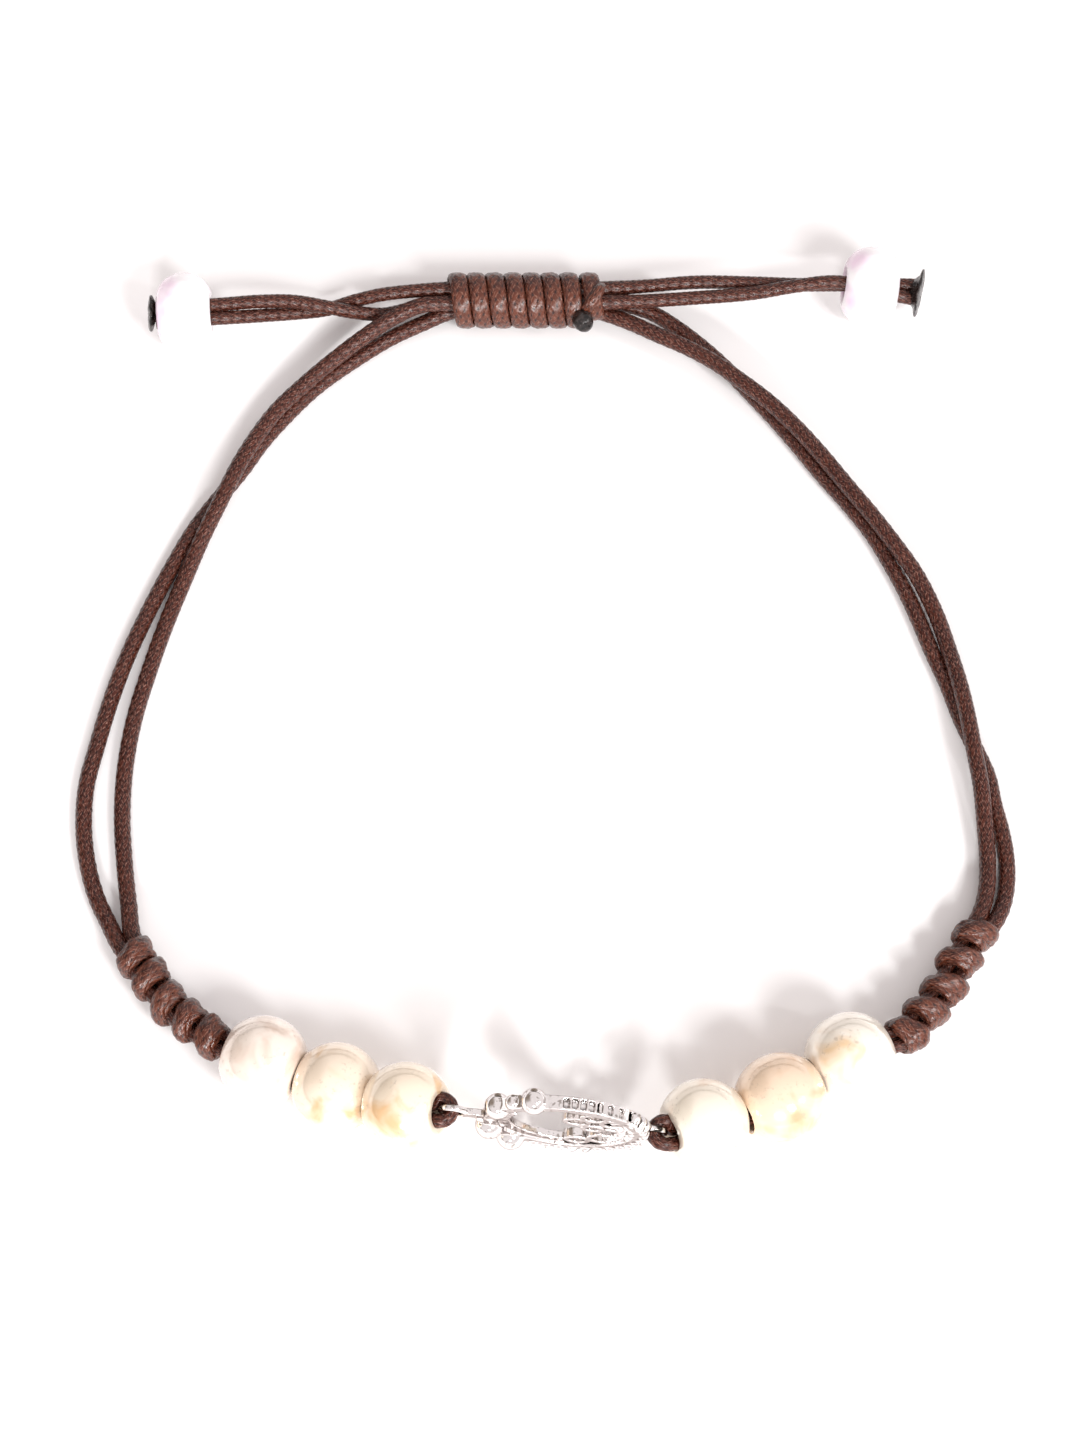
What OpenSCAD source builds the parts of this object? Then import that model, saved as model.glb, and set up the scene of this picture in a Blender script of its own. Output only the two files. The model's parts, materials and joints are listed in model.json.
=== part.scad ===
// Adjustable cord bracelet with six drilled beads, an openwork connector and a sliding knot.
// The bracelet lies on the plane z = 0, with its connector at the front (-Y) and its sliding knot at the back.

/* [Cord] */
// Diameter of the waxed cord along the loop
cord_d = 1.1; // [0.9:0.05:1.1]
// Diameter of the cord where it is squeezed in a bead or knot, and along the tails
squeezed_d = 0.95; // [0.8:0.05:0.95]

/* [Beads] */
// Outer diameter of every bead
bead_d = 6; // [5.9:0.05:6]
// Diameter of the passage through every bead and macrame knot
bore_d = 2.4; // [2.4:0.05:2.5]
// Length of an end bead along its hole
end_bead_len = 4.2; // [4:0.1:4.2]
// Diameter of the flared mouth of a bead's hole
mouth_d = 3; // [2.8:0.1:3.2]
// Diameter of the mouth where two pearls meet
inner_mouth_d = 2.6; // [2.5:0.05:2.8]

/* [Knots] */
// Outer diameter of a macrame knot
knot_d = 3; // [2.9:0.05:3]
// Length of a macrame knot along the cord
knot_len = 1.8; // [1.6:0.05:1.8]
// Number of turns of the sliding knot
wrap_count = 8; // [6:1:8]
// Distance from one turn of the sliding knot to the next
wrap_pitch = 1.38; // [1.3:0.01:1.4]
// Outer diameter of the sliding knot
slide_d = 4.2; // [4.1:0.05:4.2]
// Diameter of the passage through the sliding knot
slide_bore_d = 3; // [2.95:0.05:3.05]

/* [Connector] */
// Outer radius of the connector's ring
ring_r = 5.3; // [5.2:0.05:5.3]
// Width of the ring across the face
ring_w = 0.9; // [0.7:0.05:1]
// Thickness of the ring
ring_t = 0.9; // [0.8:0.05:1]
// Radius of the granules on the rim
granule_r = 0.42; // [0.35:0.01:0.44]
// Wire diameter of the two side loops
loop_wire = 0.45; // [0.4:0.05:0.45]
// Hole radius of the two side loops
loop_hole_r = 0.6; // [0.58:0.01:0.65]

/* [Melted ends] */
// Diameter of the flattened end on the left tail
left_end_d = 2.8; // [2.6:0.1:3]
// Diameter of the flattened end on the right tail
right_end_d = 3.6; // [3.2:0.1:3.8]

/* [Hidden] */
$fn = 48;
sides = 8;
brown = [0.28, 0.17, 0.13];
cream = [0.93, 0.87, 0.74];
white = [0.97, 0.94, 0.98];
burnt = [0.08, 0.07, 0.07];
silver = [0.86, 0.86, 0.88];

// Where each pearl sits: centre x, y, z, heading of its hole from +X, rise of its hole,
// distance from the centre to its left and right faces, diameters of its left and right mouths.
pearls = [
    [-18.5, -27.8, 3.0, -23, 3.5, 2.475, 2.61, inner_mouth_d, inner_mouth_d],
    [-13.6, -29.75, 3.3, -21, 11, 2.44, 2.57, inner_mouth_d, inner_mouth_d],
    [-8.95, -31.6, 4.8, -13, 20.5, 2.3, 2.4, inner_mouth_d, mouth_d],
    [10.37, -32.65, 4.62, 22.5, -12.5, 2.38, 2.62, mouth_d, inner_mouth_d],
    [15.54, -30.57, 3.68, 28, -8, 2.87, 2.6, inner_mouth_d, inner_mouth_d],
    [20.3, -27.55, 3.0, 29, -4, 2.89, 2.54, inner_mouth_d, inner_mouth_d]
];
// Where each end bead sits: centre x, y, z, heading and rise of its hole, length along it.
end_beads = [
    [-26.6, 30.3, 3.0, 3, 0, end_bead_len],
    [24.35, 32.6, 3.0, -5, -4, end_bead_len]
];
// Where each macrame knot sits: centre x, y, z, heading of its axis from +X, rise of its axis.
// They are numbered from the strands to the beads.
left_knots = [
    [-27.5, -20.1, 1.5, -55, 2],
    [-26.4, -21.7, 1.6, -54, 4],
    [-25.1, -23.4, 1.8, -48, 6],
    [-23.6, -24.8, 2.1, -41, 9],
    [-21.95, -26.1, 2.5, -33, 9]
];
right_knots = [
    [29.1, -18.6, 1.5, 58.5, -2],
    [27.95, -20.5, 1.6, 59.5, -4],
    [26.8, -22.5, 1.8, 56, -6],
    [25.4, -24.3, 2.1, 50, -9],
    [24.0, -25.9, 2.5, 36, -8]
];

// The sliding knot's axis runs along X.
slide_y = 32;
slide_z = 2.1;
slide_x = -1.45;
slide_len = wrap_count * wrap_pitch;
sleeve_wall = 0.25;
turn_clearance = 0.02;
turn_gap = 0.04;
tip_at = [3.0, 29.85, 3.1];
tip_r = 0.8;
tip_clearance = 0.03;
// Melted ends: centre x, y, z, heading and rise of the cord there, diameter, thickness.
melted_left = [-29.1, 30.25, 3.1, 3, -6, left_end_d, 0.6];
melted_right = [28.0, 32.27, 2.75, -14, 2, right_end_d, 0.45];

// The connector stands on its rim, leaning forward.
connector_at = [1.4, -32.9, 5.75];
connector_yaw = -6;
connector_lean = 4;
left_loop_u = -7.3;
right_loop_u = 5.6;
loop_mid_r = loop_hole_r + loop_wire / 2;
wire_clearance = 0.05;
bend_r = loop_wire / 2 + wire_clearance + squeezed_d / 2;
leg_gap = 0.52;
mouth_gap = 0.64;

// Middle line of the doubled cord on each side, from the first knot to the mouth of the last bead.
left_core = [
    [-27.45, -20.15, 1.5],
    [-26.4, -21.7, 1.6],
    [-25.1, -23.4, 1.8],
    [-23.6, -24.8, 2.1],
    [-21.95, -26.1, 2.5],
    [-20.9, -26.7, 2.75],
    [-18.5, -27.8, 3.0],
    [-16.05, -28.8, 3.0],
    [-13.6, -29.75, 3.3],
    [-11.27, -30.83, 3.85],
    [-8.95, -31.6, 4.8],
    [-7.2, -32.07, 5.45]
];
right_core = [
    [29.05, -18.65, 1.5],
    [27.95, -20.5, 1.6],
    [26.8, -22.5, 1.8],
    [25.4, -24.3, 2.1],
    [24.0, -25.9, 2.5],
    [22.66, -26.4, 2.82],
    [20.3, -27.55, 3.0],
    [17.82, -29.13, 3.26],
    [15.54, -30.57, 3.68],
    [12.9, -31.74, 4.08],
    [10.37, -32.65, 4.63],
    [8.36, -33.58, 5.12]
];

// Routes of the four strands: x, y, z and diameter, from the last macrame knot round the loop,
// through the sliding knot and along the tail into the end bead on the other side.
left_inner_route = [
    [-27.1, -19.75, 1.5, squeezed_d],
    [-27.8, -18.55, 1.3, cord_d],
    [-28.35, -15.9, 0.9, cord_d],
    [-28.85, -12.8, 0.6, cord_d],
    [-29.2, -9.6, 0.6, cord_d],
    [-29.25, -6.0, 0.6, cord_d],
    [-28.8, -1.8, 0.6, cord_d],
    [-28.0, 1.8, 0.6, cord_d],
    [-26.9, 5.9, 0.6, cord_d],
    [-25.8, 9.2, 0.75, cord_d],
    [-24.6, 12.3, 1.35, cord_d],
    [-23.35, 15.1, 1.85, cord_d],
    [-22.2, 18.0, 1.85, cord_d],
    [-21.1, 20.2, 1.85, cord_d],
    [-19.6, 22.6, 1.85, cord_d],
    [-17.5, 25.0, 1.85, cord_d],
    [-15.4, 27.0, 2.0, cord_d],
    [-13.3, 28.7, 2.3, cord_d],
    [-11.1, 30.2, 2.6, cord_d],
    [-9.1, 31.1, 2.8, cord_d],
    [-6.8, 31.4, 2.7, cord_d],
    [-3.2, 31.8, 2.9, cord_d],
    [0.4, 32.2, 2.9, cord_d],
    [4.0, 32.6, 2.7, cord_d],
    [7.2, 32.8, 2.75, squeezed_d],
    [11.5, 33.15, 2.8, squeezed_d],
    [15.7, 33.1, 2.75, squeezed_d],
    [19.0, 33.0, 2.7, squeezed_d],
    [21.9, 33.0, 2.7, squeezed_d],
    [24.78, 33.03, 2.72, squeezed_d],
    [27.75, 32.83, 2.86, squeezed_d]
];
left_outer_route = [
    [-27.95, -20.35, 1.5, squeezed_d],
    [-28.8, -18.95, 1.2, cord_d],
    [-29.75, -17.1, 0.8, cord_d],
    [-30.5, -15.6, 0.6, cord_d],
    [-31.4, -12.8, 0.6, cord_d],
    [-31.85, -9.9, 0.6, cord_d],
    [-31.85, -7.0, 0.6, cord_d],
    [-31.3, -3.9, 0.6, cord_d],
    [-30.5, -0.2, 0.6, cord_d],
    [-29.5, 3.3, 0.6, cord_d],
    [-28.3, 6.6, 0.6, cord_d],
    [-26.8, 10.2, 0.6, cord_d],
    [-25.1, 13.7, 0.6, cord_d],
    [-23.4, 16.3, 0.6, cord_d],
    [-22.0, 18.4, 0.6, cord_d],
    [-20.7, 20.6, 0.6, cord_d],
    [-19.0, 22.9, 0.6, cord_d],
    [-16.9, 25.3, 0.6, cord_d],
    [-13.9, 27.8, 0.65, cord_d],
    [-11.3, 29.5, 0.9, cord_d],
    [-9.1, 30.5, 1.2, cord_d],
    [-6.8, 31.4, 1.5, cord_d],
    [-3.2, 31.2, 1.9, cord_d],
    [0.4, 31.2, 2.3, cord_d],
    [4.0, 31.4, 2.7, cord_d],
    [7.2, 31.5, 2.75, squeezed_d],
    [11.5, 31.75, 2.85, squeezed_d],
    [15.7, 32.0, 3.1, squeezed_d],
    [19.0, 32.4, 3.5, squeezed_d],
    [21.9, 32.6, 3.65, squeezed_d],
    [24.78, 32.09, 3.22, squeezed_d],
    [27.42, 31.8, 2.68, squeezed_d]
];
right_inner_route = [
    [28.7, -18.3, 1.5, squeezed_d],
    [29.6, -17.0, 1.35, cord_d],
    [30.25, -15.1, 1.1, cord_d],
    [30.5, -12.9, 1.0, cord_d],
    [30.45, -10.2, 1.3, cord_d],
    [30.3, -7.4, 1.7, cord_d],
    [29.95, -4.6, 1.85, cord_d],
    [29.75, -2.8, 1.85, cord_d],
    [29.35, 0.0, 1.75, cord_d],
    [28.75, 3.2, 1.3, cord_d],
    [27.95, 6.4, 1.1, cord_d],
    [26.7, 9.3, 1.4, cord_d],
    [25.1, 11.8, 1.75, cord_d],
    [23.7, 13.95, 1.8, cord_d],
    [22.2, 16.1, 1.8, cord_d],
    [20.0, 19.3, 1.8, cord_d],
    [18.3, 21.5, 1.8, cord_d],
    [16.5, 23.45, 1.85, cord_d],
    [14.55, 25.2, 1.85, cord_d],
    [12.6, 26.8, 1.85, cord_d],
    [10.6, 28.1, 1.8, cord_d],
    [8.5, 29.2, 1.75, cord_d],
    [6.4, 30.4, 1.6, cord_d],
    [4.0, 31.4, 1.5, cord_d],
    [0.4, 31.8, 1.3, cord_d],
    [-3.2, 32.2, 1.3, cord_d],
    [-6.8, 32.6, 1.5, cord_d],
    [-9.6, 31.8, 1.5, squeezed_d],
    [-12.0, 31.1, 1.6, squeezed_d],
    [-14.0, 30.85, 2.25, squeezed_d],
    [-16.2, 30.9, 2.95, squeezed_d],
    [-18.4, 31.15, 3.25, squeezed_d],
    [-21.0, 31.1, 3.35, squeezed_d],
    [-24.0, 30.9, 3.25, squeezed_d],
    [-28.7, 30.6, 3.2, squeezed_d]
];
right_outer_route = [
    [29.6, -18.85, 1.5, squeezed_d],
    [30.45, -17.7, 1.3, cord_d],
    [31.15, -16.5, 1.0, cord_d],
    [31.6, -15.2, 0.7, cord_d],
    [31.85, -13.6, 0.6, cord_d],
    [31.85, -12.0, 0.6, cord_d],
    [31.65, -10.3, 0.6, cord_d],
    [31.3, -8.5, 0.6, cord_d],
    [31.0, -6.3, 0.6, cord_d],
    [30.2, -4.0, 0.6, cord_d],
    [29.4, -1.9, 0.6, cord_d],
    [28.6, 0.8, 0.6, cord_d],
    [27.6, 3.6, 0.6, cord_d],
    [26.85, 5.9, 0.6, cord_d],
    [26.0, 8.3, 0.6, cord_d],
    [25.0, 10.6, 0.6, cord_d],
    [23.75, 13.1, 0.6, cord_d],
    [22.3, 15.3, 0.6, cord_d],
    [20.35, 17.95, 0.6, cord_d],
    [18.75, 20.3, 0.6, cord_d],
    [17.1, 22.6, 0.6, cord_d],
    [15.45, 24.7, 0.6, cord_d],
    [13.5, 27.1, 0.6, cord_d],
    [11.6, 29.1, 0.6, cord_d],
    [10.0, 30.4, 0.8, cord_d],
    [8.2, 31.4, 1.25, cord_d],
    [6.4, 31.95, 1.5, cord_d],
    [4.0, 32.6, 1.5, cord_d],
    [0.4, 32.8, 1.9, cord_d],
    [-3.2, 32.8, 2.3, cord_d],
    [-6.8, 32.6, 2.7, cord_d],
    [-9.8, 32.4, 2.75, squeezed_d],
    [-12.0, 32.2, 2.6, squeezed_d],
    [-14.0, 31.95, 2.15, squeezed_d],
    [-16.2, 31.4, 1.8, squeezed_d],
    [-18.4, 30.8, 2.0, squeezed_d],
    [-21.0, 30.3, 2.4, squeezed_d],
    [-24.0, 29.95, 2.75, squeezed_d],
    [-28.7, 29.65, 2.8, squeezed_d]
];

// Vectors and swept tubes
function unit(v) = v / norm(v);
function point(row) = [row[0], row[1], row[2]];
function heading(path, i) =
    unit(point(path[min(i + 1, len(path) - 1)]) - point(path[max(i - 1, 0)]));
function side_of(t) = unit(cross([0, 0, 1], t));
function ring(at, t, d) =
    let (s = side_of(t), up = cross(t, s))
    [for (k = [0:sides - 1]) at + d / 2 * (cos(360 * k / sides) * s + sin(360 * k / sides) * up)];
function wall(i, k) =
    let (next = (k + 1) % sides, a = i * sides + k, b = i * sides + next,
         c = (i + 1) * sides + next, d = (i + 1) * sides + k)
    [[a, d, c], [a, c, b]];

module tube(path) {
    last = len(path) - 1;
    points = [for (i = [0:last]) each ring(point(path[i]), heading(path, i), path[i][3])];
    walls = [for (i = [0:last - 1]) for (k = [0:sides - 1]) each wall(i, k)];
    start_cap = [for (k = [0:sides - 1]) k];
    end_cap = [for (k = [0:sides - 1]) last * sides + sides - 1 - k];
    polyhedron(points = points, faces = concat(walls, [start_cap, end_cap]));
}

// The doubled cord: out along one side of the core, round the loop's wire, and back along the other.
loop_out = [cos(connector_yaw), sin(connector_yaw), 0];
loop_front = [cos(connector_lean) * sin(connector_yaw),
              -cos(connector_lean) * cos(connector_yaw),
              -sin(connector_lean)];
function leg(core, side) =
    [for (i = [0:len(core) - 1])
        let (gap = i == len(core) - 1 ? mouth_gap : leg_gap)
        [each core[i] + side * gap * side_of(heading(core, i)), squeezed_d]];
function bight(loop_u, out) =
    let (wire_at = connector_at + (loop_u + out * loop_mid_r) * loop_out)
    [for (turn = [-90:30:90])
        [each wire_at + bend_r * (sin(turn) * loop_front - out * cos(turn) * loop_out), squeezed_d]];
function backwards(list) = [for (i = [len(list) - 1:-1:0]) list[i]];

// Puts a child on the cord: its local Z axis follows the heading and rise in the row.
module along(row) {
    translate(point(row)) rotate([0, -row[4], row[3]]) rotate([0, 90, 0]) children();
}

// A bead drilled along the cord. Its child is the half outline, and each mouth is a row:
// side of the bead, distance from the centre to the face, diameter there.
module drilled_bead(row, mouths) {
    along(row)
    difference() {
        rotate_extrude() children();
        cylinder(h = 2 * bead_d, d = bore_d, center = true);
        for (mouth = mouths) {
            depth = (mouth[2] - bore_d) / 2;
            mirror([0, 0, mouth[0]])
            translate([0, 0, mouth[1] - depth])
            cylinder(h = 2 * depth, d1 = bore_d, d2 = bore_d + 4 * depth);
        }
    }
}

// A ball with flat faces at its two mouths, lengthened where a face lies past the ball's own
module pearl(row) {
    ball_reach = sqrt(pow(bead_d, 2) - pow(inner_mouth_d, 2)) / 2;
    left = row[5];
    right = row[6];
    left_shift = max(0, left - ball_reach);
    right_shift = max(0, right - ball_reach);
    color(cream)
    drilled_bead(row, [[1, left, row[7]], [0, right, row[8]]])
    intersection() {
        union() {
            translate([0, -left_shift]) circle(d = bead_d);
            translate([0, right_shift]) circle(d = bead_d);
            if (left_shift + right_shift > 0)
                translate([0, -left_shift]) square([bead_d / 2, left_shift + right_shift]);
        }
        translate([0, -left]) square([bead_d, left + right]);
    }
}

// A bead flattened along its hole, with a round edge
module end_bead(row) {
    round_r = row[5] / 2;
    face = sqrt(pow(round_r, 2) - pow(bore_d / 2 - bead_d / 2 + round_r, 2));
    color(white)
    drilled_bead(row, [[1, face, mouth_d], [0, face, mouth_d]])
    intersection() {
        translate([bead_d / 2 - round_r, 0]) circle(r = round_r);
        translate([0, -round_r]) square([bead_d, row[5]]);
    }
}

module macrame_knot(row) {
    round_r = knot_len / 2;
    color(brown)
    along(row)
    difference() {
        rotate_extrude()
        intersection() {
            translate([knot_d / 2 - round_r, 0]) circle(r = round_r);
            translate([0, -round_r]) square([knot_d, knot_len]);
        }
        cylinder(h = knot_d, d = bore_d, center = true);
    }
}

module front_thread(core, loop_u, out) {
    first = leg(core, -out);
    second = leg(core, out);
    color(brown)
    tube(concat(first, bight(loop_u, out), backwards(second)));
}

module strand(route) {
    color(brown) tube(route);
}

// Rounded turns on a sleeve, revolved round the four strands.
module sliding_knot() {
    turn_h = (slide_d - slide_bore_d) / 2 - turn_clearance;
    turn_r = turn_h / 2;
    flat = wrap_pitch - turn_gap - turn_h;
    color(brown)
    translate([slide_x, slide_y, slide_z]) rotate([0, 90, 0])
    rotate_extrude()
    union() {
        translate([slide_bore_d / 2, -slide_len / 2 + turn_r])
            square([sleeve_wall, slide_len - turn_h]);
        for (i = [0:wrap_count - 1])
            translate([slide_d / 2 - turn_r, (i - (wrap_count - 1) / 2) * wrap_pitch]) {
                square([turn_h, flat], center = true);
                translate([0, flat / 2]) circle(r = turn_r);
                translate([0, -flat / 2]) circle(r = turn_r);
            }
    }
}

// The burnt end of the wound cord, hollowed where it lies on the turns
module knot_tip() {
    color(burnt)
    difference() {
        translate(tip_at) sphere(r = tip_r);
        translate([slide_x, slide_y, slide_z]) rotate([0, 90, 0])
            cylinder(h = slide_len + 2 * tip_r, d = slide_d + 2 * tip_clearance, center = true);
    }
}

// A drop of melted cord, pressed flat, with a round edge
module melted_end(row) {
    rim_at = row[5] / 2 - row[6] / 2;
    color(burnt)
    along(row)
    rotate_extrude()
    union() {
        translate([0, -row[6] / 2]) square([rim_at, row[6]]);
        translate([rim_at, 0])
        intersection() {
            circle(d = row[6]);
            translate([0, -row[6]]) square([row[6], 2 * row[6]]);
        }
    }
}

// The connector in its own plane: X across, Y up, Z out of the front face.
motif_wire = 0.4;
motif_t = 0.7;
web_t = 0.5;
patch_r = 3.95;
patch_w = 1.3;
patch_first = -42;
patch_last = 30;
patch_granule_r = 0.32;
patch_granule_z = 0.2;
patch_granule_step = 11;
patch_margin = 5;
// Rows of granules on the patch: distance from the middle, turn of the row.
patch_rows = [
    [3.65, -2.8],
    [4.3, 2.4]
];
band_r = 4;
band_w = 0.9;
band_first = 150;
band_last = 268;
web_w = 0.4;
neck_w = 0.9;
neck_overlap = 0.1;
neck_reach = 0.7;
granule_sink = 0.05;
through = 3;
small_fn = 14;
dome_fn = 20;
round_fn = 28;
ring_fn = 64;
// Curls of the openwork: centre x, y and middle radius.
curls = [
    [0.75, 1.65, 0.75],
    [1.85, 2.85, 0.75],
    [3.2, 1.75, 0.85],
    [1.75, 0.2, 0.6],
    [2.5, -2.45, 0.95],
    [0.75, -3.3, 0.7]
];
// Webs that tie the curls to each other and to the rim: from x, y to x, y.
webs = [
    [1.85, 2.85, 2.3, 4.6],
    [0.75, 1.65, 1.85, 2.85],
    [1.85, 2.85, 3.2, 1.75],
    [0.75, 1.65, 1.75, 0.2],
    [1.75, 0.2, 3.2, 1.75],
    [1.75, 0.2, 3.6, -0.5],
    [1.75, 0.2, 2.5, -2.45],
    [3.2, 1.75, 4.6, 1.4],
    [2.5, -2.45, 3.6, -1.6],
    [2.5, -2.45, 3.2, -3.6],
    [2.5, -2.45, 0.75, -3.3],
    [0.75, -3.3, 0.9, -4.7]
];
// Domes on the left half: x, y, height over the middle plane, radius.
domes = [
    [-4.35, 2.55, 0, 0.85],
    [-2.0, 4.8, 0, 0.85],
    [-4.95, -1.7, 0.25, 0.95],
    [-3.6, -4.0, 0.3, 0.95],
    [-3.35, 4.0, 0, 0.5],
    [-5.5, -0.65, 0, 0.4],
    [-4.85, 0.4, 0, 0.55]
];
granule_first = -114;
granule_last = 34;
granule_step = 9.8;
// Cells in the rim: their turns, and their width, height and depth.
cells = [38, 47.5, 57, 65.4, 71.4, 77.4, 83.4, 89.4];
cell_w = 0.4;
cell_h = 0.62;
cell_depth = 0.32;

module ring_of(at, mid_r, wire, thick) {
    translate([at[0], at[1], 0])
    difference() {
        cylinder(h = thick, r = mid_r + wire / 2, center = true);
        cylinder(h = through, r = mid_r - wire / 2, center = true);
    }
}

module web(row) {
    across = [row[2] - row[0], row[3] - row[1]];
    translate([row[0], row[1], 0]) rotate([0, 0, atan2(across[1], across[0])])
        translate([0, -web_w / 2, -web_t / 2]) cube([norm(across), web_w, web_t]);
}

module side_loop(u) {
    translate([u, 0, 0]) rotate_extrude($fn = round_fn)
        translate([loop_mid_r, 0]) circle(d = loop_wire, $fn = small_fn);
}

// A stretch of a flat ring, from one angle to the other.
module arc_plate(mid_r, wide, thick, from, to) {
    reach = 2 * mid_r;
    intersection() {
        ring_of([0, 0], mid_r, wide, thick, $fn = ring_fn);
        linear_extrude(height = thick, center = true)
            polygon([[0, 0], for (turn = [from, (from + to) / 2, to]) reach * [cos(turn), sin(turn)]]);
    }
}

module connector_rim() {
    difference() {
        ring_of([0, 0], ring_r - ring_w / 2, ring_w, ring_t, $fn = ring_fn);
        for (turn = cells)
            rotate([0, 0, turn]) translate([ring_r, 0, 0])
            cube([2 * cell_depth, cell_w, cell_h], center = true);
    }
    for (turn = [granule_first:granule_step:granule_last])
        rotate([0, 0, turn]) translate([ring_r - granule_sink, 0, 0])
        sphere(r = granule_r, $fn = small_fn);
    for (row = domes)
        translate([row[0], row[1], row[2]]) sphere(r = row[3], $fn = dome_fn);
}

module connector_motif() {
    difference() {
        union() {
            for (row = webs) web(row);
            for (row = curls) ring_of(row, row[2], motif_wire, motif_t, $fn = round_fn);
        }
        for (row = curls)
            translate([row[0], row[1], 0])
            cylinder(h = through, r = row[2] - motif_wire / 2, center = true, $fn = round_fn);
    }
    arc_plate(patch_r, patch_w, web_t, patch_first, patch_last);
    arc_plate(band_r, band_w, web_t, band_first, band_last);
    for (row = patch_rows)
        for (turn = [patch_first + patch_margin:patch_granule_step:patch_last - patch_margin])
            rotate([0, 0, turn + row[1]]) translate([row[0], 0, patch_granule_z])
            sphere(r = patch_granule_r, $fn = small_fn);
}

module connector() {
    neck_end = left_loop_u + loop_mid_r;
    color(silver)
    translate(connector_at) rotate([90 + connector_lean, 0, connector_yaw])
    difference() {
        union() {
            connector_rim();
            connector_motif();
            side_loop(left_loop_u);
            side_loop(right_loop_u);
            translate([neck_end - neck_overlap, -neck_w / 2, -loop_wire / 2])
                cube([neck_reach - ring_r - neck_end, neck_w, loop_wire]);
        }
        translate([right_loop_u, 0, 0])
            cylinder(h = through, r = loop_hole_r, center = true, $fn = round_fn);
    }
}

connector();
for (i = [0:len(pearls) - 1])
    pearl(pearls[i]);
front_thread(left_core, left_loop_u, -1);  // front_thread_left
front_thread(right_core, right_loop_u, 1);  // front_thread_right
for (i = [0:len(left_knots) - 1])
    macrame_knot(left_knots[i]);
for (i = [0:len(right_knots) - 1])
    macrame_knot(right_knots[i]);
strand(left_inner_route);  // left_inner_strand
strand(left_outer_route);  // left_outer_strand
strand(right_inner_route);  // right_inner_strand
strand(right_outer_route);  // right_outer_strand
sliding_knot();
knot_tip();
end_bead(end_beads[0]);  // end_bead_left
end_bead(end_beads[1]);  // end_bead_right
melted_end(melted_left);  // melted_end_left
melted_end(melted_right);  // melted_end_right
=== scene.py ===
"""Looks of an adjustable bracelet: waxed cord, knots, drilled beads and an openwork connector.

All sizes and places are in metres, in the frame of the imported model.
"""
import json
import math

import bmesh
import bpy
import numpy as np
from mathutils import Matrix, Vector, noise

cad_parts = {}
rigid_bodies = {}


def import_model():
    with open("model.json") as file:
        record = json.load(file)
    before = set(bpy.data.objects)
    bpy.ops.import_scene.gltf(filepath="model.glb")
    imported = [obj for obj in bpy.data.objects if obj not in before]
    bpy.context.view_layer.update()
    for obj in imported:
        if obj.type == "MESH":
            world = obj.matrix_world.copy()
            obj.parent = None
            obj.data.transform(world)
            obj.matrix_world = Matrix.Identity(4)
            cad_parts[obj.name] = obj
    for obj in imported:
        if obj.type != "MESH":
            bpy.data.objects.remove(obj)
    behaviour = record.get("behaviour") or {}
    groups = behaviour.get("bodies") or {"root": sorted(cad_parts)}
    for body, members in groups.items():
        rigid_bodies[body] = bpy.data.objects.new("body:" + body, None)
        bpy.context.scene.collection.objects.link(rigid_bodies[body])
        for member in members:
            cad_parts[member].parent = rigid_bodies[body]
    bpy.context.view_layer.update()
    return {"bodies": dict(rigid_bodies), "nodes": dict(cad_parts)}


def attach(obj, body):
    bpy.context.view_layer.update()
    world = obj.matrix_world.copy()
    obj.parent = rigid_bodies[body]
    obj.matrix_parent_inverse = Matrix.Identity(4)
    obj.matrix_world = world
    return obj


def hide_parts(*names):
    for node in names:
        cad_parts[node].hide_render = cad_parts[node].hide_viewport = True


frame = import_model()
BODY = next(iter(frame["bodies"]))

# Camera
VIEW_RISE = math.radians(65)
VIEW_DISTANCE = 0.2118
VIEW_TARGET = Vector((-0.00025, -0.0016, 0.0))
LENS = 75
SENSOR = 36
CLIP_START = 0.01


def add_object(name, data):
    made = bpy.data.objects.new(name, data)
    bpy.context.scene.collection.objects.link(made)
    return made


def add_camera():
    away = Vector((0, -math.cos(VIEW_RISE), math.sin(VIEW_RISE)))
    data = bpy.data.cameras.new("view_camera")
    data.lens = LENS
    data.sensor_width = SENSOR
    data.clip_start = CLIP_START
    camera = add_object("view_camera", data)
    camera.location = VIEW_TARGET + VIEW_DISTANCE * away
    camera.rotation_euler = away.to_track_quat("Z", "Y").to_euler()
    bpy.context.scene.camera = camera


add_camera()

# Cord sizes
CORD_D = 0.0011
SQUEEZED_D = 0.00095
# Braid: plaits each way round the cord, and length of one crossing along it
LOOSE_BRAID = (8, 0.00086)
TIGHT_BRAID = (7, 0.00084)
# Depth of the pits between the plaits, and how the plaits rise and fall over each other
RELIEF = 0.0001
WEAVE = 0.35
CROWN_POWER = 0.45
# Rings of the mesh along a cord, and sides round it
RING_STEP = 0.000085
CORD_SIDES = 32
SPAN_SAMPLES = 40

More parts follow.
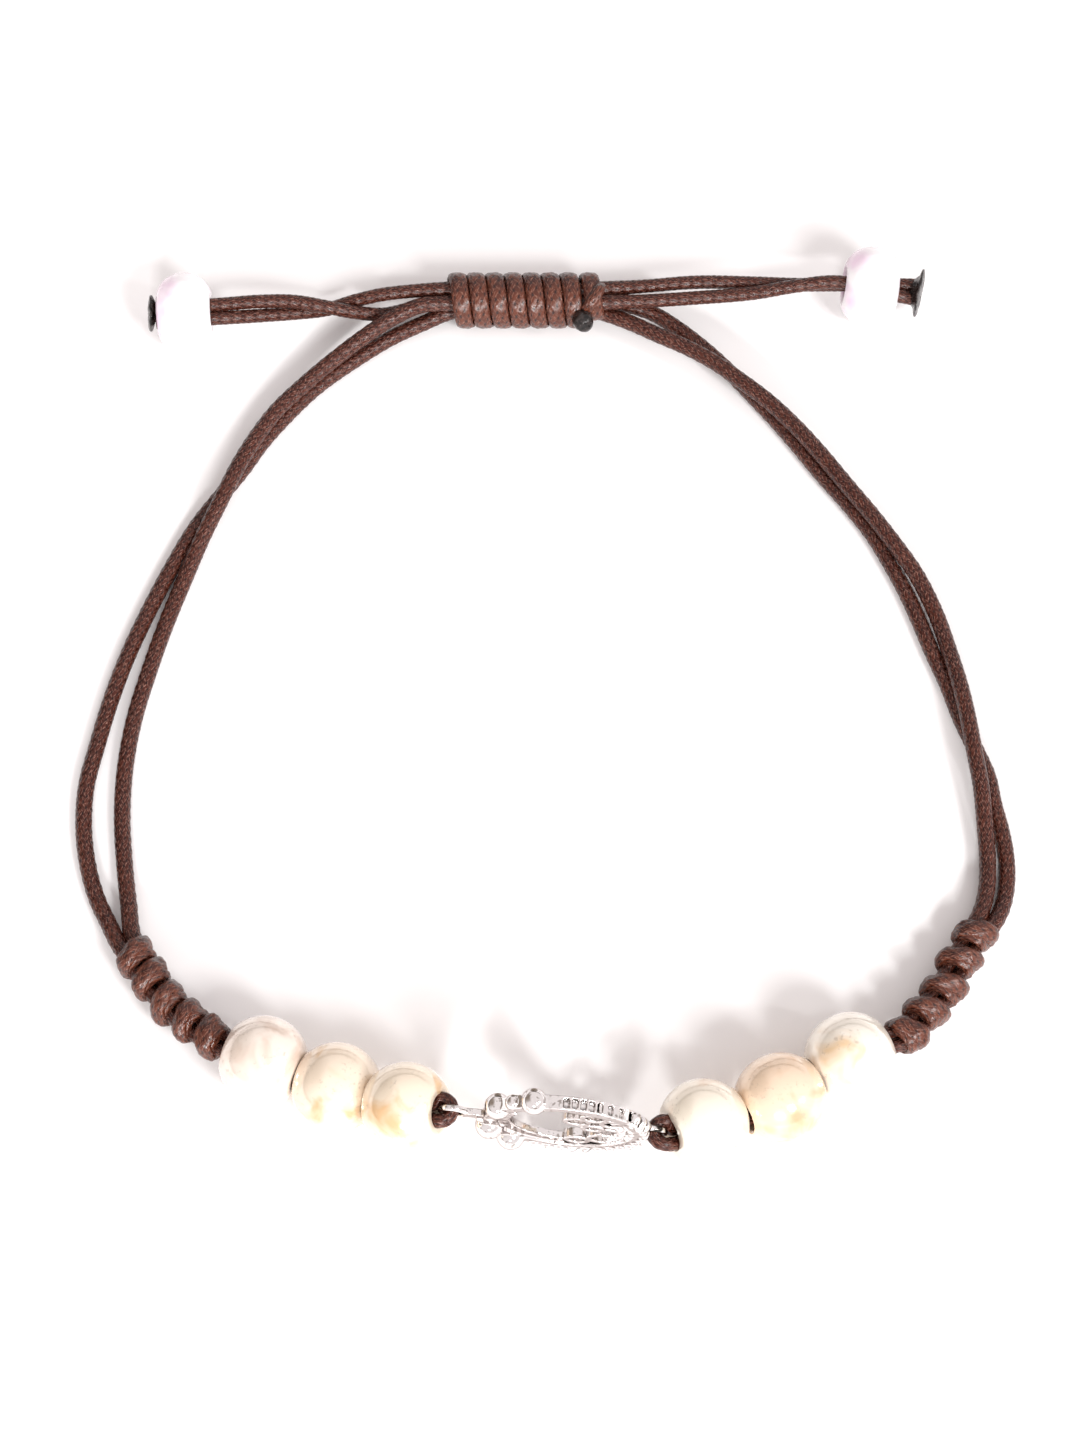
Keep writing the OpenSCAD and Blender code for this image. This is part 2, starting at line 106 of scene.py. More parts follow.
# Routes of the four strands: x, y, z and diameter, from the first macrame knot round the loop,
# through the sliding knot and along the tail into the melted end on the other side
STRANDS = {
    "left_inner_strand": [
        (-0.0271, -0.01975, 0.0015, SQUEEZED_D),
        (-0.0278, -0.01855, 0.0013, CORD_D),
        (-0.02835, -0.0159, 0.0009, CORD_D),
        (-0.02885, -0.0128, 0.0006, CORD_D),
        (-0.0292, -0.0096, 0.0006, CORD_D),
        (-0.02925, -0.006, 0.0006, CORD_D),
        (-0.0288, -0.0018, 0.0006, CORD_D),
        (-0.028, 0.0018, 0.0006, CORD_D),
        (-0.0269, 0.0059, 0.0006, CORD_D),
        (-0.0258, 0.0092, 0.00075, CORD_D),
        (-0.0246, 0.0123, 0.00135, CORD_D),
        (-0.02335, 0.0151, 0.00185, CORD_D),
        (-0.0222, 0.018, 0.00185, CORD_D),
        (-0.0211, 0.0202, 0.00185, CORD_D),
        (-0.0196, 0.0226, 0.00185, CORD_D),
        (-0.0175, 0.025, 0.00185, CORD_D),
        (-0.0154, 0.027, 0.002, CORD_D),
        (-0.0133, 0.0287, 0.0023, CORD_D),
        (-0.0111, 0.0302, 0.0026, CORD_D),
        (-0.0091, 0.0311, 0.0028, CORD_D),
        (-0.0068, 0.0314, 0.0027, CORD_D),
        (-0.0032, 0.0318, 0.0029, CORD_D),
        (0.0004, 0.0322, 0.0029, CORD_D),
        (0.004, 0.0326, 0.0027, CORD_D),
        (0.0072, 0.0328, 0.00275, SQUEEZED_D),
        (0.0115, 0.03315, 0.0028, SQUEEZED_D),
        (0.0157, 0.0331, 0.00275, SQUEEZED_D),
        (0.019, 0.033, 0.0027, SQUEEZED_D),
        (0.0219, 0.033, 0.0027, SQUEEZED_D),
        (0.02478, 0.03303, 0.00272, SQUEEZED_D),
        (0.02775, 0.03283, 0.00286, SQUEEZED_D),
    ],
    "left_outer_strand": [
        (-0.02795, -0.02035, 0.0015, SQUEEZED_D),
        (-0.0288, -0.01895, 0.0012, CORD_D),
        (-0.02975, -0.0171, 0.0008, CORD_D),
        (-0.0305, -0.0156, 0.0006, CORD_D),
        (-0.0314, -0.0128, 0.0006, CORD_D),
        (-0.03185, -0.0099, 0.0006, CORD_D),
        (-0.03185, -0.007, 0.0006, CORD_D),
        (-0.0313, -0.0039, 0.0006, CORD_D),
        (-0.0305, -0.0002, 0.0006, CORD_D),
        (-0.0295, 0.0033, 0.0006, CORD_D),
        (-0.0283, 0.0066, 0.0006, CORD_D),
        (-0.0268, 0.0102, 0.0006, CORD_D),
        (-0.0251, 0.0137, 0.0006, CORD_D),
        (-0.0234, 0.0163, 0.0006, CORD_D),
        (-0.022, 0.0184, 0.0006, CORD_D),
        (-0.0207, 0.0206, 0.0006, CORD_D),
        (-0.019, 0.0229, 0.0006, CORD_D),
        (-0.0169, 0.0253, 0.0006, CORD_D),
        (-0.0139, 0.0278, 0.00065, CORD_D),
        (-0.0113, 0.0295, 0.0009, CORD_D),
        (-0.0091, 0.0305, 0.0012, CORD_D),
        (-0.0068, 0.0314, 0.0015, CORD_D),
        (-0.0032, 0.0312, 0.0019, CORD_D),
        (0.0004, 0.0312, 0.0023, CORD_D),
        (0.004, 0.0314, 0.0027, CORD_D),
        (0.0072, 0.0315, 0.00275, SQUEEZED_D),
        (0.0115, 0.03175, 0.00285, SQUEEZED_D),
        (0.0157, 0.032, 0.0031, SQUEEZED_D),
        (0.019, 0.0324, 0.0035, SQUEEZED_D),
        (0.0219, 0.0326, 0.00365, SQUEEZED_D),
        (0.02478, 0.03209, 0.00322, SQUEEZED_D),
        (0.02742, 0.0318, 0.00268, SQUEEZED_D),
    ],
    "right_inner_strand": [
        (0.0287, -0.0183, 0.0015, SQUEEZED_D),
        (0.0296, -0.017, 0.00135, CORD_D),
        (0.03025, -0.0151, 0.0011, CORD_D),
        (0.0305, -0.0129, 0.001, CORD_D),
        (0.03045, -0.0102, 0.0013, CORD_D),
        (0.0303, -0.0074, 0.0017, CORD_D),
        (0.02995, -0.0046, 0.00185, CORD_D),
        (0.02975, -0.0028, 0.00185, CORD_D),
        (0.02935, 0.0, 0.00175, CORD_D),
        (0.02875, 0.0032, 0.0013, CORD_D),
        (0.02795, 0.0064, 0.0011, CORD_D),
        (0.0267, 0.0093, 0.0014, CORD_D),
        (0.0251, 0.0118, 0.00175, CORD_D),
        (0.0237, 0.01395, 0.0018, CORD_D),
        (0.0222, 0.0161, 0.0018, CORD_D),
        (0.02, 0.0193, 0.0018, CORD_D),
        (0.0183, 0.0215, 0.0018, CORD_D),
        (0.0165, 0.02345, 0.00185, CORD_D),
        (0.01455, 0.0252, 0.00185, CORD_D),
        (0.0126, 0.0268, 0.00185, CORD_D),
        (0.0106, 0.0281, 0.0018, CORD_D),
        (0.0085, 0.0292, 0.00175, CORD_D),
        (0.0064, 0.0304, 0.0016, CORD_D),
        (0.004, 0.0314, 0.0015, CORD_D),
        (0.0004, 0.0318, 0.0013, CORD_D),
        (-0.0032, 0.0322, 0.0013, CORD_D),
        (-0.0068, 0.0326, 0.0015, CORD_D),
        (-0.0096, 0.0318, 0.0015, SQUEEZED_D),
        (-0.012, 0.0311, 0.0016, SQUEEZED_D),
        (-0.014, 0.03085, 0.00225, SQUEEZED_D),
        (-0.0162, 0.0309, 0.00295, SQUEEZED_D),
        (-0.0184, 0.03115, 0.00325, SQUEEZED_D),
        (-0.021, 0.0311, 0.00335, SQUEEZED_D),
        (-0.024, 0.0309, 0.00325, SQUEEZED_D),
        (-0.0287, 0.0306, 0.0032, SQUEEZED_D),
    ],
    "right_outer_strand": [
        (0.0296, -0.01885, 0.0015, SQUEEZED_D),
        (0.03045, -0.0177, 0.0013, CORD_D),
        (0.03115, -0.0165, 0.001, CORD_D),
        (0.0316, -0.0152, 0.0007, CORD_D),
        (0.03185, -0.0136, 0.0006, CORD_D),
        (0.03185, -0.012, 0.0006, CORD_D),
        (0.03165, -0.0103, 0.0006, CORD_D),
        (0.0313, -0.0085, 0.0006, CORD_D),
        (0.031, -0.0063, 0.0006, CORD_D),
        (0.0302, -0.004, 0.0006, CORD_D),
        (0.0294, -0.0019, 0.0006, CORD_D),
        (0.0286, 0.0008, 0.0006, CORD_D),
        (0.0276, 0.0036, 0.0006, CORD_D),
        (0.02685, 0.0059, 0.0006, CORD_D),
        (0.026, 0.0083, 0.0006, CORD_D),
        (0.025, 0.0106, 0.0006, CORD_D),
        (0.02375, 0.0131, 0.0006, CORD_D),
        (0.0223, 0.0153, 0.0006, CORD_D),
        (0.02035, 0.01795, 0.0006, CORD_D),
        (0.01875, 0.0203, 0.0006, CORD_D),
        (0.0171, 0.0226, 0.0006, CORD_D),
        (0.01545, 0.0247, 0.0006, CORD_D),
        (0.0135, 0.0271, 0.0006, CORD_D),
        (0.0116, 0.0291, 0.0006, CORD_D),
        (0.01, 0.0304, 0.0008, CORD_D),
        (0.0082, 0.0314, 0.00125, CORD_D),
        (0.0064, 0.03195, 0.0015, CORD_D),
        (0.004, 0.0326, 0.0015, CORD_D),
        (0.0004, 0.0328, 0.0019, CORD_D),
        (-0.0032, 0.0328, 0.0023, CORD_D),
        (-0.0068, 0.0326, 0.0027, CORD_D),
        (-0.0098, 0.0324, 0.00275, SQUEEZED_D),
        (-0.012, 0.0322, 0.0026, SQUEEZED_D),
        (-0.014, 0.03195, 0.00215, SQUEEZED_D),
        (-0.0162, 0.0314, 0.0018, SQUEEZED_D),
        (-0.0184, 0.0308, 0.00225, SQUEEZED_D),
        (-0.021, 0.03035, 0.0026, SQUEEZED_D),
        (-0.024, 0.03, 0.0028, SQUEEZED_D),
        (-0.0287, 0.02965, 0.0028, SQUEEZED_D),
    ],
}


# Curves and frames
def units(rows):
    return rows / np.linalg.norm(rows, axis=1, keepdims=True)


def lengths(rows):
    """Distance along a list of points, from 0 at the first."""
    return np.concatenate([[0], np.cumsum(np.linalg.norm(np.diff(rows[:, :3], axis=0), axis=1))])


def spline(rows, step):
    """Smooth curve through the rows, with samples one step apart. Columns after x, y, z go along."""
    rows = np.asarray(rows, float)
    chord = np.diff(lengths(rows))[:, None]
    slope = np.diff(rows, axis=0) / chord
    inner = (slope[:-1] * chord[1:] + slope[1:] * chord[:-1]) / (chord[1:] + chord[:-1])
    slopes = np.vstack([slope[:1], inner, slope[-1:]])
    t = np.linspace(0, 1, SPAN_SAMPLES, endpoint=False)[:, None]
    dense = []
    for i in range(len(rows) - 1):
        start = (2 * t**3 - 3 * t**2 + 1) * rows[i] + (t**3 - 2 * t**2 + t) * chord[i] * slopes[i]
        end = (3 * t**2 - 2 * t**3) * rows[i + 1] + (t**3 - t**2) * chord[i] * slopes[i + 1]
        dense.append(start + end)
    dense = np.vstack([*dense, rows[-1:]])
    along = lengths(dense)
    even = np.linspace(0, along[-1], round(along[-1] / step) + 1)
    return np.column_stack([np.interp(even, along, column) for column in dense.T])


def headings(path):
    return units(np.gradient(path, axis=0))


def upward(path):
    """For each point of a path, the direction square to it that points most nearly up."""
    heading = headings(path)
    side = units(np.cross([0.0, 0.0, 1.0], heading))
    return np.cross(heading, side)


# Braided cord
def braid_height(u, v):
    """Height of the braid's surface, 0 in the pits and 1 on the crowns, at a place in its lattice."""
    su = np.sin(math.pi * u)
    sv = np.sin(math.pi * v)
    lift = WEAVE * su * sv
    hu = np.abs(su) ** CROWN_POWER + lift
    hv = np.abs(sv) ** CROWN_POWER - lift
    return np.maximum(hu, hv) / (1 + WEAVE)


def braided(path, out, width, height, closed=False, square=1.0, braid=LOOSE_BRAID):
    """Points, faces and lattice corners of a braided cord along a path.

    out is the direction in which height is measured; width is measured across it. square below 1
    flattens the cord's section.
    """
    sides = CORD_SIDES
    heading = headings(path)
    out = units(out - heading * np.sum(out * heading, axis=1, keepdims=True))
    side = np.cross(heading, out)
    along = lengths(path)
    rings = len(path)
    total = along[-1]
    if closed:
        total += np.linalg.norm(path[0] - path[-1])
    plaits, pitch = braid
    pitch = total / round(total / pitch)
    turn = np.arange(sides) / sides
    u = plaits * turn[None, :] + along[:, None] / pitch
    v = plaits * turn[None, :] - along[:, None] / pitch
    sink = RELIEF * (1 - braid_height(u, v))
    cos = np.cos(2 * math.pi * turn)[None, :]
    sin = np.sin(2 * math.pi * turn)[None, :]
    across = np.sign(cos) * np.abs(cos) ** square
    proud = np.sign(sin) * np.abs(sin) ** square
    half_w = np.broadcast_to(np.asarray(width, float) / 2, rings)[:, None] - sink
    half_h = np.broadcast_to(np.asarray(height, float) / 2, rings)[:, None] - sink
    points = (path[:, None, :] + (half_w * across)[..., None] * side[:, None, :]
              + (half_h * proud)[..., None] * out[:, None, :])
    spans = rings if closed else rings - 1
    ring = np.repeat(np.arange(spans), sides)
    k = np.tile(np.arange(sides), spans)
    after = (ring + 1) % rings
    beside = (k + 1) % sides
    faces = np.column_stack([ring * sides + k, ring * sides + beside,
                             after * sides + beside, after * sides + k]).tolist()
    corner_ring = np.column_stack([ring, ring, ring + 1, ring + 1]).ravel()
    corner_turn = np.column_stack([k, k + 1, k + 1, k]).ravel() / sides
    corner_along = np.append(along, total)[corner_ring] / pitch
    lattice = np.column_stack([plaits * corner_turn + corner_along,
                               plaits * corner_turn - corner_along,
                               np.zeros(len(corner_turn))])
    if not closed:
        faces.append(list(range(sides))[::-1])
        faces.append(list(range((rings - 1) * sides, rings * sides)))
        lattice = np.vstack([lattice, np.zeros((2 * sides, 3))])
    return points.reshape(-1, 3), faces, lattice


def joined(parts):
    """One set of points, faces and lattice corners from several."""
    points = []
    faces = []
    lattice = []
    count = 0
    for part_points, part_faces, part_lattice in parts:
        points.append(part_points)
        faces += [[count + i for i in face] for face in part_faces]
        lattice.append(part_lattice)
        count += len(part_points)
    return np.vstack(points), faces, np.vstack(lattice)


def mesh_piece(name, points, faces, lattice=None):
    mesh = bpy.data.meshes.new(name)
    mesh.from_pydata(points.tolist(), [], faces)
    if lattice is not None:
        corners = mesh.attributes.new("lattice", "FLOAT_VECTOR", "CORNER")
        corners.data.foreach_set("vector", lattice.ravel())
    mesh.shade_smooth()
    return add_object(name, mesh)


def dress(piece, material, slot, *stands_for):
    """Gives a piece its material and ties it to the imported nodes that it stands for."""
    piece.data.materials.clear()
    piece.data.materials.append(material)
    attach(piece, BODY)
    if stands_for:
        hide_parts(*stands_for)
    return piece


# Shader helpers
def new_material(name):
    material = bpy.data.materials.new(name)
    material.use_nodes = True
    return material, material.node_tree, material.node_tree.nodes["Principled BSDF"]


def wire(tree, kind, inputs=None, **settings):
    """A new shader node with its settings and its inputs set or linked."""
    made = tree.nodes.new("ShaderNode" + kind)
    for key, value in settings.items():
        setattr(made, key, value)
    for key, value in (inputs or {}).items():
        if isinstance(value, bpy.types.NodeSocket):
            tree.links.new(value, made.inputs[key])
        else:
            made.inputs[key].default_value = value
    return made


def calc(tree, operation, *values):
    return wire(tree, "Math", dict(enumerate(values)), operation=operation).outputs[0]


def product(tree, first, *others):
    """Several shares multiplied together."""
    for other in others:
        first = calc(tree, "MULTIPLY", first, other)
    return first


def away_from(tree, value, middle):
    return calc(tree, "ABSOLUTE", calc(tree, "SUBTRACT", value, middle))


def dot(tree, vector, direction):
    made = wire(tree, "VectorMath", {0: vector, 1: tuple(direction)}, operation="DOT_PRODUCT")
    return made.outputs["Value"]


def turned_to(tree, direction):
    """How squarely the surface faces a direction: 1 when it does, 0 when it is edge on."""
    return dot(tree, wire(tree, "NewGeometry").outputs["Normal"], direction)


def blend_colours(tree, share, first, second):
    made = wire(tree, "Mix", data_type="RGBA")
    for key, value in (("Factor", share), ("A", first), ("B", second)):
        socket = next(s for s in made.inputs if s.name == key and s.enabled)
        if isinstance(value, bpy.types.NodeSocket):
            tree.links.new(value, socket)
        else:
            socket.default_value = value
    return next(s for s in made.outputs if s.enabled)


def object_noise(tree, scale, detail=2.0):
    place = wire(tree, "TexCoord").outputs["Object"]
    return wire(tree, "TexNoise", {"Vector": place, "Scale": scale, "Detail": detail}).outputs["Fac"]


def ramp(tree, value, low, high):
    """0 at low, 1 at high, and smooth between."""
    made = wire(tree, "MapRange", {"Value": value, "From Min": low, "From Max": high},
                interpolation_type="SMOOTHSTEP")
    return made.outputs["Result"]


def bumped(tree, surface, height, distance, strength):
    made = wire(tree, "Bump", {"Height": height, "Distance": distance, "Strength": strength})
    tree.links.new(made.outputs["Normal"], surface.inputs["Normal"])


def feed(tree, surface, **links):
    for key, value in links.items():
        tree.links.new(value, surface.inputs[key.replace("_", " ")])


# Painted shade on the plaits that run one way: their brightness beside those that run the other
UNDER_PLAIT_SHADE = 0.7
# Side facing the key light, which is painted ruddier as painted light
LIT_WARM_SIDE = (0.35, -0.8, 0.49)
# Fibres of the cord: how many across a plait, how fast they change along it, and their shift
# from the plaits of one way to those of the other.
FIBRE_ACROSS = 7.0
FIBRE_ALONG = 1.4
FIBRE_SHIFT = 9.0
FIBRE_DEPTH = 0.00006
# Noise scales, per metre: patches of wax and its grain
WAX_PATCHES = 900.0
WAX_GRAIN = 5000.0
CORD_LOOKS = {
    # painted shade in the pits, body, ruddy patches, pale fibres that are partly painted highlights,
    # and gloss
    "waxed_cord": ((0.012, 0.003, 0.002, 1.0), (0.036, 0.007, 0.0045, 1.0),
                   (0.062, 0.012, 0.0055, 1.0), (0.31, 0.155, 0.118, 1.0), 0.31),
    "knotted_cord": ((0.024, 0.006, 0.004, 1.0), (0.043, 0.01, 0.007, 1.0),
                     (0.105, 0.025, 0.011, 1.0), (0.28, 0.13, 0.09, 1.0), 0.46),
}


def cord_material(name, pit_shade, body, ruddy, light, gloss):
    """Waxed braid: painted shade in the pits and on the plaits of one way, warm crowns painted
    ruddier on the lit side, and fine pale fibres, partly painted highlights, that run along each
    plait.
    """
    material, tree, surface = new_material(name)
    lattice = wire(tree, "Attribute", attribute_name="lattice").outputs["Vector"]
    split = wire(tree, "SeparateXYZ", {0: lattice})
    u = split.outputs["X"]
    v = split.outputs["Y"]
    su = calc(tree, "SINE", calc(tree, "MULTIPLY", u, math.pi))
    sv = calc(tree, "SINE", calc(tree, "MULTIPLY", v, math.pi))
    lift = calc(tree, "MULTIPLY", calc(tree, "MULTIPLY", su, sv), WEAVE)
    hu = calc(tree, "ADD", calc(tree, "POWER", calc(tree, "ABSOLUTE", su), CROWN_POWER), lift)
    hv = calc(tree, "SUBTRACT", calc(tree, "POWER", calc(tree, "ABSOLUTE", sv), CROWN_POWER), lift)
    u_on_top = calc(tree, "GREATER_THAN", hu, hv)
    crown = calc(tree, "DIVIDE", calc(tree, "MAXIMUM", hu, hv), 1 + WEAVE)
    across = calc(tree, "MULTIPLY_ADD", calc(tree, "SUBTRACT", u, v), u_on_top, v)
    along = calc(tree, "MULTIPLY_ADD", calc(tree, "SUBTRACT", v, u), u_on_top, u)
    fibre_at = wire(tree, "CombineXYZ",
                    {"X": calc(tree, "MULTIPLY", across, FIBRE_ACROSS),
                     "Y": calc(tree, "MULTIPLY", along, FIBRE_ALONG),
                     "Z": calc(tree, "MULTIPLY", u_on_top, FIBRE_SHIFT)}).outputs[0]
    fibre = wire(tree, "TexNoise", {"Vector": fibre_at, "Scale": 1.0, "Detail": 2.0}).outputs["Fac"]
    patches = object_noise(tree, WAX_PATCHES, 3.0)
    # Ruddy patches of wax at random, and painted light: ruddier on the side facing the key light
    warmth = calc(tree, "MAXIMUM", ramp(tree, patches, 0.4, 0.62),
                  ramp(tree, turned_to(tree, LIT_WARM_SIDE), 0.2, 0.9))
    warm = blend_colours(tree, warmth, body, ruddy)
    # Painted shade: the plaits of one way are darker than those of the other, as if lit from one side
    plait_light = calc(tree, "MULTIPLY_ADD", u_on_top, 1 - UNDER_PLAIT_SHADE, UNDER_PLAIT_SHADE)
    lit = calc(tree, "MULTIPLY", ramp(tree, crown, 0.4, 0.78), plait_light)
    # Painted shade in the pits between the crowns, painted light on the crowns
    shade = blend_colours(tree, lit, pit_shade, warm)
    # Pale fibres are partly the cord's own and partly painted highlights; the pale seam lines between
    # plaits are painted highlights; both show only on lit crowns
    apart = away_from(tree, hu, hv)
    seam_highlight = calc(tree, "MULTIPLY", ramp(tree, apart, 0.02, 0.07), ramp(tree, apart, 0.34, 0.16))
    pale_fibre_and_highlight = calc(tree, "MAXIMUM", ramp(tree, fibre, 0.56, 0.72),
                calc(tree, "MULTIPLY", seam_highlight, ramp(tree, fibre, 0.4, 0.56)))
    shade = blend_colours(tree, calc(tree, "MULTIPLY", pale_fibre_and_highlight, lit), shade, light)
    feed(tree, surface, Base_Color=shade,
         Roughness=calc(tree, "MULTIPLY_ADD", patches, 0.4, 0.04))
    surface.inputs["Specular IOR Level"].default_value = gloss
    height = calc(tree, "MULTIPLY_ADD", object_noise(tree, WAX_GRAIN), 0.8, fibre)
    bumped(tree, surface, height, FIBRE_DEPTH, 0.4)
    return material


# Look of each pearl: cream, tan, where the tan patches begin, and a shift of the pattern
PEARL_LOOKS = {
    "pearl_1": ((0.88, 0.78, 0.69, 1.0), (0.66, 0.5, 0.4, 1.0), 0.48, 0.011),
    "pearl_2": ((0.88, 0.75, 0.6, 1.0), (0.66, 0.42, 0.2, 1.0), 0.46, 0.023),
    "pearl_3": ((0.9, 0.78, 0.62, 1.0), (0.74, 0.48, 0.25, 1.0), 0.48, 0.037),
    "pearl_4": ((0.91, 0.83, 0.7, 1.0), (0.72, 0.52, 0.36, 1.0), 0.5, 0.041),
    "pearl_5": ((0.86, 0.67, 0.5, 1.0), (0.66, 0.4, 0.22, 1.0), 0.42, 0.053),
    "pearl_6": ((0.91, 0.85, 0.75, 1.0), (0.74, 0.52, 0.3, 1.0), 0.5, 0.067),
}
TAN_SPREAD = 0.28
FLECK_GREY = (0.4, 0.34, 0.28, 1.0)
FLECK_SHARE = 0.45
# Noise scales, per metre: tan patches, zones with flecks, and the flecks
PEARL_CLOUDS = 380.0
PEARL_ZONES = 700.0
PEARL_FLECKS = 3800.0
PEARL_RELIEF = 0.0001


def pearl_material(name, cream, tan, tan_from, seed):
    """Pearl lustre: a creamy coat, partly metallic, with soft tan patches and fine flecks."""
    material, tree, surface = new_material(name)
    place = wire(tree, "TexCoord").outputs["Object"]
    shift = (seed, 2 * seed, -seed)
    moved = wire(tree, "VectorMath", {0: place, 1: shift}, operation="ADD").outputs[0]
    cloud = wire(tree, "TexNoise", {"Vector": moved, "Scale": PEARL_CLOUDS, "Detail": 3.0,
                                    "Distortion": 0.6}).outputs["Fac"]
    grain = wire(tree, "TexNoise", {"Vector": moved, "Scale": PEARL_FLECKS,
                                    "Detail": 4.0}).outputs["Fac"]
    zones = wire(tree, "TexNoise", {"Vector": moved, "Scale": PEARL_ZONES,
                                    "Detail": 1.0}).outputs["Fac"]
    patch = ramp(tree, cloud, tan_from, tan_from + TAN_SPREAD)
    shade = blend_colours(tree, patch, cream, tan)
    fleck = calc(tree, "MULTIPLY", ramp(tree, grain, 0.55, 0.72), ramp(tree, zones, 0.5, 0.6))
    shade = blend_colours(tree, calc(tree, "MULTIPLY", fleck, FLECK_SHARE), shade, FLECK_GREY)
    feed(tree, surface, Base_Color=shade,
         Roughness=calc(tree, "MULTIPLY_ADD", cloud, 0.12, 0.1))
    surface.inputs["Metallic"].default_value = 0.25
    surface.inputs["Specular IOR Level"].default_value = 0.6
    surface.inputs["Coat Weight"].default_value = 1.0
    surface.inputs["Coat Roughness"].default_value = 0.03
    surface.inputs["Coat IOR"].default_value = 1.5
    height = calc(tree, "ADD", calc(tree, "MULTIPLY", fleck, 0.12),
                  calc(tree, "MULTIPLY_ADD", zones, 0.35, cloud))
    bumped(tree, surface, height, PEARL_RELIEF, 0.45)
    return material


# White beads: colour, colour of the violet sheen painted on them, and the side it is painted on
BEAD_WHITE = (0.95, 0.94, 0.95, 1.0)
PAINTED_SHEEN_VIOLET = (0.88, 0.68, 0.83, 1.0)
BEAD_SHEEN = (1.0, 0.75, 0.95, 1.0)
PAINTED_SHEEN_SIDE = (-0.87, -0.1, 0.48)
BEAD_CLOUDS = 420.0


def white_bead_material():
    material, tree, surface = new_material("white_bead")
    cloud = object_noise(tree, BEAD_CLOUDS)
    # Painted sheen: violet on the side facing left and up, broken up by clouds
    painted_sheen = calc(tree, "MULTIPLY", ramp(tree, turned_to(tree, PAINTED_SHEEN_SIDE), 0.35, 0.9),
                 ramp(tree, cloud, 0.35, 0.6))
    shade = blend_colours(tree, painted_sheen, BEAD_WHITE, PAINTED_SHEEN_VIOLET)
    feed(tree, surface, Base_Color=shade,
         Roughness=calc(tree, "MULTIPLY_ADD", cloud, 0.15, 0.1))
    surface.inputs["Sheen Weight"].default_value = 0.2
    surface.inputs["Sheen Tint"].default_value = BEAD_SHEEN
    surface.inputs["Coat Weight"].default_value = 0.8
    surface.inputs["Coat Roughness"].default_value = 0.05
    return material


# Melted cord: its black, and the dull brown of its uneven spots
CHAR_BLACK = (0.006, 0.005, 0.005, 1.0)
CHAR_BROWN = (0.045, 0.034, 0.032, 1.0)
CHAR_CLOUDS = 2500.0
CHAR_RELIEF = 0.0001


def melted_material():
    material, tree, surface = new_material("melted_cord")
    cloud = object_noise(tree, CHAR_CLOUDS, 3.0)
    shade = blend_colours(tree, ramp(tree, cloud, 0.4, 0.75), CHAR_BLACK, CHAR_BROWN)
    feed(tree, surface, Base_Color=shade,
         Roughness=calc(tree, "MULTIPLY_ADD", cloud, 0.4, 0.05))
    surface.inputs["Specular IOR Level"].default_value = 0.3
    surface.inputs["Coat Weight"].default_value = 0.15
    surface.inputs["Coat Roughness"].default_value = 0.1
    bumped(tree, surface, cloud, CHAR_RELIEF, 0.8)
    return material


cord_look = cord_material("waxed_cord", *CORD_LOOKS["waxed_cord"])
knot_look = cord_material("knotted_cord", *CORD_LOOKS["knotted_cord"])
white_look = white_bead_material()
melted_look = melted_material()

# Melted ends: centre, heading and rise of the cord there, diameter, thickness and hub
MELTED = {
    "melted_end_left": ((-0.0291, 0.03025, 0.0031), 3, -6, 0.0027, 0.0004, 0.00015),
    "melted_end_right": ((0.028, 0.03227, 0.00275), -14, 2, 0.0036, 0.00042, -0.0005),
}
HUB_R = 0.00105
DROP_TURNS = 72
DROP_ROWS = 15
# How much the drop's rim swells in and out, and how much of its thickness its faces wave
DROP_SWELL = 0.06
DROP_WAVE = 0.15


def axis_of(turn, rise):
    """Unit vector with a heading from +X and a rise, both in degrees, and the two square to it."""
    turn = math.radians(turn)
    rise = math.radians(rise)
    axis = Vector((math.cos(rise) * math.cos(turn), math.cos(rise) * math.sin(turn), math.sin(rise)))
    side = Vector((-math.sin(turn), math.cos(turn), 0))
    return axis, side, axis.cross(side)


def lumpy_disc(name, at, turn, rise, diameter, thick, hub):
    """A flattened drop of melted cord, square to the cord, with an uneven rim.

    Its middle reaches out by the length of the hub, towards the cords.
    """
    axis, side, up = axis_of(turn, rise)
    points = []
    for row in range(DROP_ROWS):
        lean = math.pi * (row + 0.5) / DROP_ROWS
        reach = math.sin(lean) ** 0.55 * diameter / 2
        level = math.cos(lean) * thick / 2
        for k in range(DROP_TURNS):
            angle = 2 * math.pi * k / DROP_TURNS
            spot = Vector((math.cos(angle), math.sin(angle), row * 0.1))
            swell = 1 + DROP_SWELL * noise.noise(spot * 2.2)
            wave = DROP_WAVE * thick * noise.noise(spot * 3.1 + Vector((9, 0, 0)))
            place = Vector(at) + reach * swell * (math.cos(angle) * side + math.sin(angle) * up)
            facing = max(0.0, math.copysign(1, hub) * math.cos(lean))
            out = hub * facing ** 0.25 * math.exp(-(reach / HUB_R) ** 6)
            points.append(place + (level + wave + out) * axis)
    faces = []
    for start in range(0, (DROP_ROWS - 1) * DROP_TURNS, DROP_TURNS):
        for k in range(DROP_TURNS):
            after = (k + 1) % DROP_TURNS
            faces.append([start + k, start + after,
                          start + DROP_TURNS + after, start + DROP_TURNS + k])
    faces.append(list(range(DROP_TURNS))[::-1])
    faces.append(list(range((DROP_ROWS - 1) * DROP_TURNS, DROP_ROWS * DROP_TURNS)))
    return mesh_piece(name, np.array(points), faces)


for node_name, (at, turn, rise, diameter, thick, hub) in MELTED.items():
    piece = lumpy_disc(node_name + "_drop", at, turn, rise, diameter, thick, hub)
    dress(piece, melted_look, "melted_cord", node_name)

